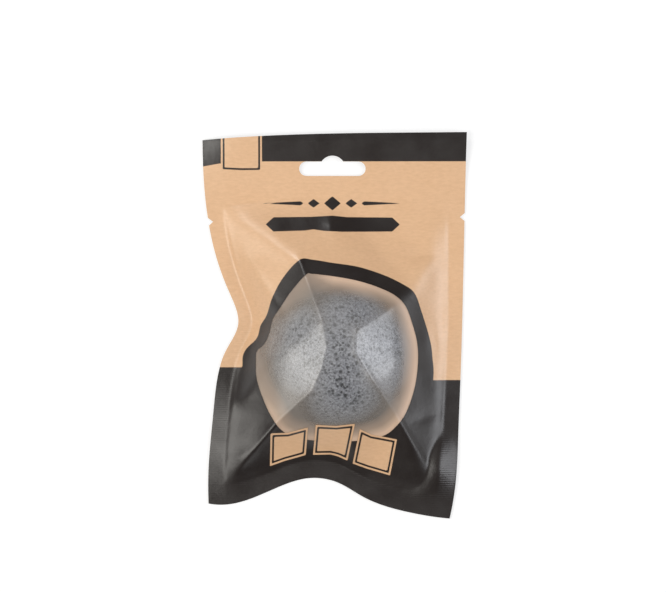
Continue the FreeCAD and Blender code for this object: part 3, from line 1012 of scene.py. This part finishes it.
def noise(tree, scale, detail=2.0, stretch=(1, 1, 1)):
    """Noise on Object coordinates, in cycles per metre."""
    place = tree.nodes.new("ShaderNodeTexCoord")
    mapping = tree.nodes.new("ShaderNodeMapping")
    mapping.inputs["Scale"].default_value = stretch
    tree.links.new(place.outputs["Object"], mapping.inputs["Vector"])
    node = tree.nodes.new("ShaderNodeTexNoise")
    node.inputs["Scale"].default_value = scale
    node.inputs["Detail"].default_value = detail
    tree.links.new(mapping.outputs["Vector"], node.inputs["Vector"])
    return node.outputs["Fac"]


def add_bump(tree, shader, height, distance, strength=1.0):
    node = tree.nodes.new("ShaderNodeBump")
    node.inputs["Distance"].default_value = distance
    node.inputs["Strength"].default_value = strength
    tree.links.new(height, node.inputs["Height"])
    tree.links.new(node.outputs["Normal"], shader.inputs["Normal"])


# %% [markdown]
# ## Printed film
# The pouch is brown kraft-coloured film with dark ink, a satin gloss and ribbed seals. An image
# would blur at the edges of the print. Here the stored distances switch between the two colours
# within a quarter of a millimetre, and noise gives the fibres, the smudges and a slight relief.

# %% Printed film
NOISE_RANGE = (0.3, 0.7)
KRAFT_LIGHT = (0.84, 0.53, 0.31)
KRAFT_DEEP = (0.77, 0.48, 0.275)
INK = (0.014, 0.009, 0.0075)
EDGE_SOFTNESS = 0.12
LABEL_LINE = (0.9, 1.85)
PRINT_SPECULAR = 0.8
PRINT_ROUGHNESS = (0.34, 0.44)
PRINT_RELIEF = 0.00012
RIB_PITCH = 0.0011
RIB_SHARE = 0.4
WAVES_PER_UNIT = 20 / (2 * math.pi)


def seal_ribs(tree):
    """Fine ribs that the sealing jaws press into the bands."""
    place = tree.nodes.new("ShaderNodeTexCoord")
    node = tree.nodes.new("ShaderNodeTexWave")
    node.wave_type = 'BANDS'
    node.bands_direction = 'Y'
    node.inputs["Scale"].default_value = 1 / (WAVES_PER_UNIT * RIB_PITCH)
    tree.links.new(place.outputs["Object"], node.inputs["Vector"])
    return node.outputs["Fac"]


def printed_film():
    material, tree, shader = start_finish("printed_film")
    fibres = noise(tree, 700, 4, (0.5, 1.4, 1))
    kraft = blend_colour(tree, remap(tree, fibres, *NOISE_RANGE), KRAFT_DEEP, KRAFT_LIGHT)
    label = stored(tree, "label_print")
    dark = remap(tree, stored(tree, "dark_print"), -EDGE_SOFTNESS, EDGE_SOFTNESS)
    colour = blend_colour(tree, dark, kraft, INK)
    on_label = remap(tree, label, -EDGE_SOFTNESS, EDGE_SOFTNESS)
    line_start = remap(tree, label, LABEL_LINE[0] - EDGE_SOFTNESS, LABEL_LINE[0] + EDGE_SOFTNESS)
    line_end = remap(tree, label, LABEL_LINE[1] + EDGE_SOFTNESS, LABEL_LINE[1] - EDGE_SOFTNESS)
    on_line = maths(tree, 'MULTIPLY', line_start, line_end)
    label_colour = blend_colour(tree, on_line, kraft, INK)
    colour = blend_colour(tree, on_label, colour, label_colour)
    tree.links.new(colour, shader.inputs["Base Color"])
    shader.inputs["Specular IOR Level"].default_value = PRINT_SPECULAR
    smudges = noise(tree, 90, 3)
    tree.links.new(remap(tree, smudges, *NOISE_RANGE, *PRINT_ROUGHNESS), shader.inputs["Roughness"])
    ribs = maths(tree, 'MULTIPLY', seal_ribs(tree), stored(tree, "sealed_band"))
    height = maths(tree, 'ADD', maths(tree, 'MULTIPLY', ribs, RIB_SHARE), noise(tree, 420, 2))
    add_bump(tree, shader, height, PRINT_RELIEF, 0.6)
    return material


# %% [markdown]
# ## Frosted film
# The window is matt film: clear where it touches the sponge, milky where it stands off, and
# glossy on its outside. One Principled shader with less Alpha would lose its highlights where it
# is clear. So a haze is mixed with a Transparent shader first, and a thin gloss is laid over
# both. The haze is white where the film touches and is painted a brown shade where it stands off.
# Along the window's edge, a peach rim of painted light stands for the light that comes round
# from the kraft back.

# %% Frosted film
FILM_WHITE = (0.80, 0.81, 0.83)
# Painted shade: the haze turns this dark brown where the film stands off the sponge.
FILM_PAINTED_SHADE = (0.37, 0.325, 0.285)
# Painted light: the peach rim along the window's edge.
FILM_PAINTED_RIM_LIGHT = (0.95, 0.68, 0.49)
FILM_GLOSS = 0.075
FILM_ROUGHNESS = 0.38
FILM_RELIEF = 0.0001
PAINTED_SHADE_GAP = (0.8, 4.0)
MILK_GAP = (0.7, 5.5)
MILK = (0.02, 0.45)
PAINTED_RIM_EDGE = (10.0, 1.5)
PAINTED_RIM_PATCHES = (0.7, 1.0)
PAINTED_RIM_MILK = 0.85
PAINTED_LIGHT_PLACES = (-0.034, -0.008)
PAINTED_LIGHT_SHARES = (0.25, 1.0)
LOW_SIDE_SHARE = 0.35


def painted_light_side(tree):
    """How much painted rim light there is by place: little at the left, all of it at the low right."""
    place = tree.nodes.new("ShaderNodeTexCoord")
    axes = tree.nodes.new("ShaderNodeSeparateXYZ")
    tree.links.new(place.outputs["Object"], axes.inputs[0])
    lower = maths(tree, 'MULTIPLY', axes.outputs["Y"], -LOW_SIDE_SHARE)
    return remap(tree, maths(tree, 'ADD', axes.outputs["X"], lower), *PAINTED_LIGHT_PLACES, *PAINTED_LIGHT_SHARES)


def frosted_film():
    """Clear where it touches the sponge, milky with a painted brown shade where it stands off, with a painted
    peach rim light along the window's edge, and glossy all over.
    """
    material, tree, haze = start_finish("frosted_film")
    gap = stored(tree, "sponge_gap")
    # Painted rim light along the window's edge, in patches, and stronger towards the low right.
    glow = remap(tree, stored(tree, "from_edge"), *PAINTED_RIM_EDGE)
    patches = remap(tree, noise(tree, 40, 1), 0.25, 0.75, *PAINTED_RIM_PATCHES)
    glow = maths(tree, 'MULTIPLY', maths(tree, 'MULTIPLY', glow, patches), painted_light_side(tree))
    # The haze colour turns from white to a painted brown shade as the film stands off the sponge.
    colour = blend_colour(tree, remap(tree, gap, *PAINTED_SHADE_GAP), FILM_WHITE, FILM_PAINTED_SHADE)
    tree.links.new(blend_colour(tree, glow, colour, FILM_PAINTED_RIM_LIGHT), haze.inputs["Base Color"])
    haze.inputs["Roughness"].default_value = 1.0
    haze.inputs["Specular IOR Level"].default_value = 0.0
    milk = remap(tree, gap, *MILK_GAP, *MILK)
    milk = maths(tree, 'MAXIMUM', milk, maths(tree, 'MULTIPLY', glow, PAINTED_RIM_MILK))
    clear = tree.nodes.new("ShaderNodeBsdfTransparent")
    gloss = tree.nodes.new("ShaderNodeBsdfGlossy")
    gloss.inputs["Roughness"].default_value = FILM_ROUGHNESS
    body = tree.nodes.new("ShaderNodeMixShader")
    tree.links.new(milk, body.inputs[0])
    tree.links.new(clear.outputs[0], body.inputs[1])
    tree.links.new(haze.outputs[0], body.inputs[2])
    film = tree.nodes.new("ShaderNodeMixShader")
    film.inputs[0].default_value = FILM_GLOSS
    tree.links.new(body.outputs[0], film.inputs[1])
    tree.links.new(gloss.outputs[0], film.inputs[2])
    output = next(node for node in tree.nodes if node.type == 'OUTPUT_MATERIAL')
    tree.links.new(film.outputs[0], output.inputs["Surface"])
    add_bump(tree, gloss, noise(tree, 500, 2), FILM_RELIEF, 0.4)
    return material


# %% [markdown]
# ## Back film, seals and foam
# The back film is thin and clear, and the seals are melted film with the jaws' ribs. Konjac foam
# is dull and mottled. It could be one grey, but up close it is a mix of pale walls and dark
# cells, so two greys are mixed by fine noise, and shade is painted into the stored pores.

# %% Back film, melted seals and foam
CLEAR_ALPHA = 0.15
CLEAR_ROUGHNESS = (0.25, 0.4)
SEAL_TAN = (0.74, 0.58, 0.42)
SEAL_PALE = (0.82, 0.70, 0.56)
SEAL_RELIEF = 0.0001
FOAM_GREY = (0.14, 0.142, 0.16)
FOAM_PALE = (0.395, 0.4, 0.43)
# Painted shade colour in the middles of the pores.
FOAM_PORE_SHADE = (0.015, 0.015, 0.019)
FOAM_RELIEF = 0.0004


def clear_film():
    material, tree, shader = start_finish("clear_film")
    shader.inputs["Base Color"].default_value = FILM_WHITE + (1,)
    shader.inputs["Alpha"].default_value = CLEAR_ALPHA
    sheen = remap(tree, noise(tree, 120, 2), *NOISE_RANGE, *CLEAR_ROUGHNESS)
    tree.links.new(sheen, shader.inputs["Roughness"])
    return material


def melted_seal():
    material, tree, shader = start_finish("melted_seal")
    cloud = noise(tree, 220, 3)
    colour = blend_colour(tree, cloud, SEAL_TAN, SEAL_PALE)
    tree.links.new(colour, shader.inputs["Base Color"])
    shader.inputs["Roughness"].default_value = 0.45
    add_bump(tree, shader, seal_ribs(tree), SEAL_RELIEF, 0.5)
    return material


def konjac_foam():
    material, tree, shader = start_finish("konjac_foam")
    cells = noise(tree, 1000, 3)
    grey = blend_colour(tree, remap(tree, cells, 0.36, 0.66), FOAM_GREY, FOAM_PALE)
    # Painted shade in the pores, darkest in their middles.
    colour = blend_colour(tree, stored(tree, "painted_pore_shade"), grey, FOAM_PORE_SHADE)
    tree.links.new(colour, shader.inputs["Base Color"])
    shader.inputs["Roughness"].default_value = 0.95
    add_bump(tree, shader, noise(tree, 1500, 4), FOAM_RELIEF, 0.7)
    return material


FINISHES = {
    printed_film(): (front_panel, back_panel, header_front_panel, header_back_panel),
    frosted_film(): (window_film,),
    clear_film(): (back_film,),
    melted_seal(): (left_side_seal, right_side_seal, bottom_seal, header_seal),
    konjac_foam(): (sponge,),
}
for finish, pieces in FINISHES.items():
    for piece in pieces:
        piece.data.materials.clear()
        piece.data.materials.append(finish)
print("finishes:", [finish.name for finish in FINISHES])

# %% [markdown]
# ## Bodies and slots
# Each piece stands for its CAD nodes and rides on their body, so it follows the joints: the
# header tears off about its right end, and the sponge slides out. The CAD nodes are hidden,
# the pouch's pieces get meshes of their own, and the front web's flat area without the window is worked out.

# %% Tie the pieces to the CAD model
def flat_area(rows, hole=None):
    """Flat area of some rows of a web in square metres, without a hole in it."""
    corners = FRONT[rows]
    cell = FLAT_WIDTH / (COLUMNS - 1) * FLAT_LENGTH / (ROWS - 1)
    middles = (corners[:-1, :-1] + corners[1:, 1:]) / 2
    keep = np.ones(middles.shape[:2], bool)
    if hole is not None:
        keep &= hole(middles[..., 0], middles[..., 1]) <= 0
    return keep.sum() * cell * MM ** 2


def window_hole(x, y):
    """Positive inside the window, but not on a label."""
    on_label = np.maximum.reduce([inside_by(label, x, y) for label in LABELS])
    return np.minimum(inside_by(WINDOW, x, y), -on_label)


PLACES = (
    (front_panel, "pouch", "printed_ply", ("front_panel",)),
    (window_film, "pouch", "frosted_film", ("window_film",)),
    (left_side_seal, "pouch", "melted_seal", ("left_side_seal",)),
    (right_side_seal, "pouch", "melted_seal", ("right_side_seal",)),
    (bottom_seal, "pouch", "melted_seal", ("bottom_seal",)),
    (back_film, "pouch", "frosted_film", ("back_film",)),
    (back_panel, "pouch", "printed_ply", ("back_panel",)),
    (header_front_panel, "header", "printed_ply", ("header_front_panel",)),
    (header_seal, "header", "melted_seal", ("header_seal", "header_front_film", "header_back_film")),
    (header_back_panel, "header", "printed_ply", ("header_back_panel",)),
    (sponge, "sponge", "sponge_foam", ("sponge",)),
)

for piece, body, slot, nodes in PLACES:
    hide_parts(*nodes)
    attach(piece, body)
    if body == "pouch":
        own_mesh(piece)
flat_area(BODY, window_hole)
print("pieces:", len(PLACES))
